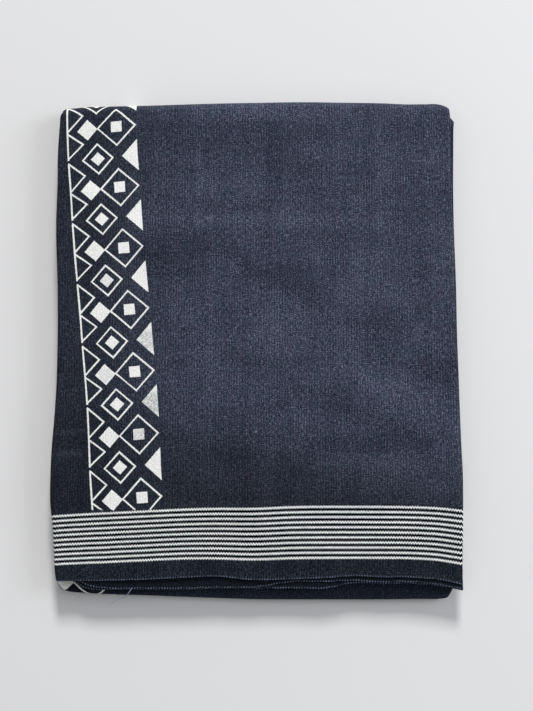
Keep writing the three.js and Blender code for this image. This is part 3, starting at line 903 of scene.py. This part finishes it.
def cotton(name, printed, light=1.0):
    """Handloom cotton with its stripes, selvedge and painted shade, and, where asked for, the block print; a
    light below 1 adds painted shade all over.
    """
    material, surface = new_material(name)
    tree = material.node_tree
    shade = Shade(tree)
    cloth = shade.node("Attribute", {"attribute_name": "cloth"}, output="Vector")
    split = shade.node("SeparateXYZ", {}, {0: cloth})
    u, v = split, Shade(tree, split.socket.node.outputs[1])
    bright, height = weave(shade, u, v)
    stripes, border, ticks = stripe_masks(shade, u, v)
    purple = shade.node("ValToRGB", {"stops": stops_of(PURPLE_NAVY)}, {0: bright})
    teal = shade.node("ValToRGB", {"stops": stops_of(TEAL_NAVY)}, {0: bright})
    navy = (0.5 + 1.7 * shade.noise(u, v, 0.17, 0.13, 41.0)).clamp().pick(purple, teal)
    charcoal = shade.node("ValToRGB", {"stops": stops_of(CHARCOAL)}, {0: bright})
    black = (0.0, 0.0, 0.0, 1.0)
    # Painted shade toward the front and in the margin beside the print, where cloth slopes from the window.
    margin = u.ease(MARGIN_START, MARGIN_END)
    front = (v + 0.22 * u).ease(-32, -96)
    painted_shade = (1 - FRONT_SHADE * front * (1 - 0.5 * margin)) * (1 - MARGIN_SHADE * margin)
    colour = (painted_shade * light).pick(black, navy)
    # Painted shade over the front roll.
    colour = (ROLL_SHADE * v.ease(ROLL_SHADE_START, ROLL_SHADE_END)).pick(colour, linear(4, 10, 24))
    between = (abs(v - (FIRST_STRIPE + LAST_STRIPE) / 2) - (FIRST_STRIPE - LAST_STRIPE) / 2).ease(1.0, 0.2)
    # The dark weft between the stripes, and the painted shade of the leaves and inner layers.
    dark_weft_and_shade = (1 - BETWEEN_SHADE * between) * light
    colour = border.pick(colour, dark_weft_and_shade.pick(linear(5, 9, 18), charcoal))
    white = (0.56 + 0.9 * bright).clamp().pick(linear(142, 150, 160), linear(255, 255, 255))
    colour = stripes.pick(colour, white)
    colour = (0.75 * ticks).pick(colour, linear(128, 138, 164))
    bump = height + 0.5 * stripes
    if printed:
        place = shade.node("Attribute", {"attribute_name": "print"}, output="Vector")
        parts = shade.node("SeparateXYZ", {}, {0: place})
        p, q = parts, Shade(tree, parts.socket.node.outputs[1])
        ink, cover = block_print(shade, p, q)
        paste = (0.35 + 0.8 * bright).clamp().pick(linear(200, 202, 202), linear(252, 252, 250))
        colour = (ink * cover).pick(colour, paste)
        bump = bump + 0.25 * ink
    normal = shade.node("Bump", {}, {"Strength": 0.55, "Distance": 0.3 * MM, "Height": bump})
    roughness = 0.86 + 0.16 * (bright - 0.5)
    for socket, value in (("Base Color", colour), ("Roughness", roughness), ("Normal", normal)):
        tree.links.new(value.socket, surface.inputs[socket])
    set_inputs(surface, {"Specular IOR Level": 0.08, "Sheen Weight": 0.012, "Sheen Roughness": 0.6})
    print(name, len(tree.nodes), "nodes")
    return material


# The leaves and the inner layers take painted shade, as darker copies of the cotton.
printed_cotton = cotton("printed_navy_cotton", True)
shaded_leaf_cotton = cotton("shaded_leaf_navy_cotton", False, LEAF_LIGHT)
shaded_inner_cotton = cotton("shaded_inner_navy_cotton", False, INNER_LIGHT)

# %% [markdown]
# The outer cloth
#
# The outermost layer covers the top, the back, the underside and the front roll in one run, so all
# four pieces share one section: a short arm of layer 8, the left fold, layer 1, the right fold and a
# short arm of layer 4. They are four objects because the frame has four nodes there, and because
# the top then gets a sharper baked picture of its own. They meet where the cloth is flat.

# %% The outer cloth
ARM = 14
TOP_ROWS, BACK_ROWS, UNDER_ROWS, ROLL_ROWS, LAP_ROWS = 172, 26, 100, 20, 16
ROLL_LAP = 0.1  # the share of level 3 that the front roll's piece runs on
outer = snake([8, 1, 4], ("left", ARM), ("right", ARM))

top_cloth = ribbon("top_cloth", outer, rows_of(level_1, TOP_ROWS), printed_cotton, tuck=1)
back_cloth = ribbon("back_cloth", outer, rows_of(back_bend, BACK_ROWS), printed_cotton, tuck=1)
under_cloth = ribbon("under_cloth", outer, rows_of(level_4, UNDER_ROWS), printed_cotton)
roll_rows = rows_of(front_roll, ROLL_ROWS) + rows_of(level_3, LAP_ROWS, 0.0, ROLL_LAP)[1:]
roll_cloth = ribbon("roll_cloth", outer, roll_rows, printed_cotton)

# %% [markdown]
# The leaves under the top one
#
# At the front the top leaf ends in its selvedge, and under it the other seven layers of level 1 end
# in theirs, each a little further out or in. Only the first centimetre of them can be seen, so each
# ribbon is short: whole leaves would look the same and weigh ten times as much. The same goes for
# level 2, which ends a little behind them over the front roll.

# %% Front leaves
LEAF_DEPTH = 0.09  # share of the level's length
LEAF_ROWS = 14
CROWDING = 1.6  # rows lie closer together toward the edge that shows
from_edge = [LEAF_DEPTH * (i / LEAF_ROWS) ** CROWDING for i in range(LEAF_ROWS + 1)]
front_rows = [(level_1, share) for share in from_edge]
inner_leaves = snake([4, 5, 6, 3, 2, 7], ("right", ARM), CUT_ENDS[7], turn="left", step=COARSE_STEP)
leaves = ribbon("front_leaves", inner_leaves, front_rows, shaded_leaf_cotton)
lowest = snake([8], ("left", ARM), CUT_ENDS[8], step=COARSE_STEP)
lowest_leaf = ribbon("lowest_leaf", lowest, front_rows, shaded_leaf_cotton)
second_rows = [(level_2, 1 - share) for share in reversed(from_edge)]
whole_snake = snake([8, 1, 4, 5, 6, 3, 2, 7], CUT_ENDS[8], CUT_ENDS[7], turn="left", step=COARSE_STEP)
second_level = ribbon("second_level_leaves", whole_snake, second_rows, shaded_leaf_cotton)

# %% [markdown]
# The edges of the folded layers
#
# Seen from the left each level is one round fold. Seen from the right it is a wide fold, a narrow
# one and two cut ends. The full snake could be carried along the whole path, but most of it could
# never be seen, so strips of those few layers, 12 mm wide, make the sides.

# %% Side edges
LEFT_STRIP, RIGHT_STRIP = ("left", 12), ("right", 12)


def whole_path():
    """Rows along the whole cloth, close together in the bends and where the right edge steps in."""
    stretches = [
        (level_1, 56, 0, 0.96), (level_1, 20, 0.96, 1), (back_bend, 13, 0, 1), (level_4, 60, 0, 1),
        (front_roll, 8, 0, 1), (level_3, 59, 0, 1), (hidden_bend, 5, 0, 1), (level_2, 58, 0, 1),
    ]
    rows = []
    for stretch, count, start, end in stretches:
        rows += rows_of(stretch, count, start, end)[1 if rows else 0:]
    return rows


path_rows = whole_path()
lower_rows = [row for row in path_rows if row[0] in (level_3, hidden_bend, level_2)]
edges = [
    ribbon("narrow_fold", snake([5, 6], RIGHT_STRIP, RIGHT_STRIP, turn="right"), path_rows, shaded_inner_cotton),
    ribbon("cut_end_a", snake([7], RIGHT_STRIP, CUT_ENDS[7]), path_rows, shaded_inner_cotton),
    ribbon("cut_end_b", snake([8], RIGHT_STRIP, CUT_ENDS[8]), path_rows, shaded_inner_cotton),
    ribbon("wide_folds", snake([1, 4], RIGHT_STRIP, RIGHT_STRIP, turn="right"), lower_rows, shaded_inner_cotton),
    ribbon("left_folds", snake([8, 1], LEFT_STRIP, LEFT_STRIP), lower_rows, shaded_inner_cotton),
]

# %% [markdown]
# The core
#
# Under the top leaf lie layers that nobody sees, but light must not pass between the strips at the
# sides. A plain block stands for them, well inside the edges, dark with the inner cotton's painted
# shade. Its roof follows the swells of the top 1.2 mm below it, so the two never cross.

# %% Core
CORE_INSET, CORE_FRONT = 9, -138
ROOF_DEPTH, CORE_BOTTOM = 1.2, 0.7
CORE_CELLS = 24


def core():
    """The inside of the stack, as a closed block that follows the top's swells, dark with painted shade."""
    count = CORE_CELLS
    share = np.linspace(0, 1, count + 1)
    x = (share - 0.5) * 2 * (HALF_WIDTH - CORE_INSET)
    y = CORE_FRONT + share * (back_middle(0.0) - CORE_INSET - CORE_FRONT)
    grid_x, grid_y = np.meshgrid(x, y)
    depth = np.full(grid_x.shape, ROOF_DEPTH)
    roof = settle(grid_x, grid_y, STACK_HEIGHT - depth, 1, depth)
    levels = (roof, np.full(roof.shape, CORE_BOTTOM))
    vertices = [np.stack([grid_x, grid_y, z], axis=2).reshape(-1, 3) + ORIGIN for z in levels]
    side = count + 1
    faces = []
    for row in range(count):
        for c in range(count):
            a = row * side + c
            faces.append((a, a + 1, a + side + 1, a + side))
            faces.append(tuple(side * side + i for i in (a, a + side, a + side + 1, a + 1)))
    ring = list(range(count)) + [r * side + count for r in range(count)]
    ring += [count * side + c for c in range(count, 0, -1)] + [r * side for r in range(count, 0, -1)]
    for a, b in zip(ring, ring[1:] + ring[:1]):
        faces.append((a, side * side + a, side * side + b, b))
    return piece_from("core", np.concatenate(vertices), faces, shaded_inner_cotton)


def joined(name, pieces):
    """Several pieces of the same finish as one object."""
    with bpy.context.temp_override(active_object=pieces[0], selected_editable_objects=pieces):
        bpy.ops.object.join()
    pieces[0].name = name
    return pieces[0]


inner_layers = joined("inner_layers", [core(), *edges, second_level])
front_leaves = joined("front_leaves", [leaves, lowest_leaf])

# %% [markdown]
# A loose thread
#
# One pale blue yarn has worked out of the selvedge and hangs over the front roll down to the table.
# Its points are listed, and a round bevel along a smooth curve makes the yarn: a mesh tube
# would be as good, but a curve lets each point have its own thickness.

# %% Loose thread
THREAD = table(
    "x y z thickness",
    (-76.6, -149.2, 13.2, 1.3),
    (-78.4, -151.9, 11.4, 1.4),
    (-80.6, -154.6, 8.6, 1.3),
    (-81.8, -155.6, 6.0, 1.0),
    (-86.2, -157.2, 3.0, 0.8),
    (-91.3, -160.4, 0.5, 0.5),
)
THREAD_RADIUS = 0.16
thread_line = bpy.data.curves.new("loose_thread", "CURVE")
thread_line.dimensions = "3D"
thread_line.bevel_depth = THREAD_RADIUS * MM
thread_line.bevel_resolution = 2
spline = thread_line.splines.new("NURBS")
spline.points.add(len(THREAD["x"]) - 1)
for point, x, y, z, thickness in zip(spline.points, *THREAD.values()):
    point.co = (*(ORIGIN + (x, y, z)) * MM, 1)
    point.radius = thickness
spline.use_endpoint_u = True
thread_finish, thread_surface = new_material("pale_blue_thread")
thread_tree = thread_finish.node_tree
thread_shade = Shade(thread_tree)
thread_place = thread_shade.node("TexCoord", {}, {}, output="Object")
thread_noise = thread_shade.node("TexNoise", {}, {"Vector": thread_place, "Scale": 900.0})
thread_colour = thread_noise.pick(linear(160, 170, 212), linear(205, 212, 238))
thread_tree.links.new(thread_colour.socket, thread_surface.inputs["Base Color"])
set_inputs(thread_surface, {"Roughness": 0.8})
thread_line.materials.append(thread_finish)
thread = object_from("loose_thread", thread_line)
thread_points = np.array([point.co[:3] for point in spline.points]) / MM
print("thread: about %.0f mm long" % np.linalg.norm(np.diff(thread_points, axis=0), axis=1).sum())

# %% [markdown]
# Floor, light and camera
#
# The cloth lies on a pale table and is seen from almost straight above. A large soft lamp behind it
# gives the shadow under the front edge, a weak one at the right softens the shadow there, and an even
# sky does the rest. Area lamps, not a sun, because the shadow's edge is soft.

# %% Floor, light and camera
FLOOR_HALF = 6  # metres, as are the places of the lamps
corners = [(x * FLOOR_HALF, y * FLOOR_HALF, 0) for x, y in ((-1, -1), (1, -1), (1, 1), (-1, 1))]
floor_mesh = bpy.data.meshes.new("floor")
floor_mesh.from_pydata(corners, [], [(0, 1, 2, 3)])
floor = object_from("floor", floor_mesh)
floor_finish, floor_surface = new_material("pale_table")
set_inputs(floor_surface, {"Base Color": linear(226, 226, 227), "Roughness": 0.8, "Specular IOR Level": 0.2})
floor_mesh.materials.append(floor_finish)

scene = bpy.context.scene
scene.view_settings.view_transform = "Standard"
world = bpy.data.worlds.new("soft_sky")
scene.world = world
world.use_nodes = True
set_inputs(world.node_tree.nodes["Background"], {"Color": (0.95, 0.965, 0.985, 1.0), "Strength": 0.39})


def soft_lamp(name, place, size, power, colour):
    """A square lamp that faces the middle of the cloth."""
    lamp = bpy.data.lights.new(name, "AREA")
    lamp.shape = "SQUARE"
    lamp.size = size
    lamp.energy = power
    lamp.color = colour
    holder = object_from(name, lamp)
    holder.location = place
    holder.rotation_euler = (-mathutils.Vector(place)).to_track_quat("-Z", "Y").to_euler()


soft_lamp("window", place=(0.33, 5.8, 3.4), size=1.3, power=415, colour=(1.0, 0.99, 0.97))
soft_lamp("far_wall", place=(1.4, 0.35, 0.85), size=0.8, power=9.5, colour=(0.95, 0.97, 1.0))

CAMERA_TILT = math.radians(5.5)
CAMERA_PLACE = (ORIGIN + (6.3, -80.4, 792.4)) * MM
PICTURE_WIDTH = 533
FOCAL_PIXELS = 1248
SENSOR = 36
camera_data = bpy.data.cameras.new("camera")
camera_data.sensor_fit = "HORIZONTAL"
camera_data.sensor_width = SENSOR
camera_data.lens = FOCAL_PIXELS * SENSOR / PICTURE_WIDTH
camera = object_from("camera", camera_data)
camera.location = CAMERA_PLACE
camera.rotation_euler = (CAMERA_TILT, 0, 0)
scene.camera = camera
print("lens %.1f mm, %.1f degrees off straight down" % (camera_data.lens, math.degrees(CAMERA_TILT)))

# %% [markdown]
# What each piece stands for
#
# Every piece rides on the one body and stands for the plain solid at its place.

# %% What each piece stands for
for piece, nodes, slot in (
    (top_cloth, ["top_leaf"], "printed_cloth"),
    (back_cloth, ["back_fold"], "printed_cloth"),
    (under_cloth, ["bottom_leaf"], "printed_cloth"),
    (roll_cloth, ["front_roll"], "printed_cloth"),
    (front_leaves, ["second_leaf", "third_leaf"], "plain_leaves"),
    (inner_layers, ["hidden_layers"], "layer_edges"),
    (thread, [], "plain_leaves"),
):
    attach(piece, "root")
    if nodes:
        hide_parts(*nodes)
    print(piece.name, "stands for", ", ".join(nodes) or "itself alone")

# %% [markdown]
# How much cloth each piece shows
#
# Flat sizes of the cloth that each piece is, taken along its section and along its path. They say
# how the real cloth was cut.

# %% Flat sizes
def section_width(section):
    across = section[:, 0] * 2 * HALF_WIDTH + section[:, 1]
    return float(np.hypot(np.diff(across), np.diff(section[:, 2])).sum()) * MM


OUTER_WIDTH = section_width(outer)
for piece, length, rests_on in (
    (top_cloth, TOP_END - SELVEDGE, ["inner_layers"]),
    (back_cloth, BACK_LENGTH, ["top_cloth", "under_cloth"]),
    (under_cloth, UNDER_LENGTH, ["floor"]),
    (roll_cloth, ROLL_LENGTH + ROLL_LAP * THIRD_LENGTH, ["under_cloth"]),
):
    print(piece.name, "flat: %.3f x %.3f m" % (OUTER_WIDTH, length * MM))
    length * MM
LEAVES_WIDTH = section_width(inner_leaves) + section_width(lowest)
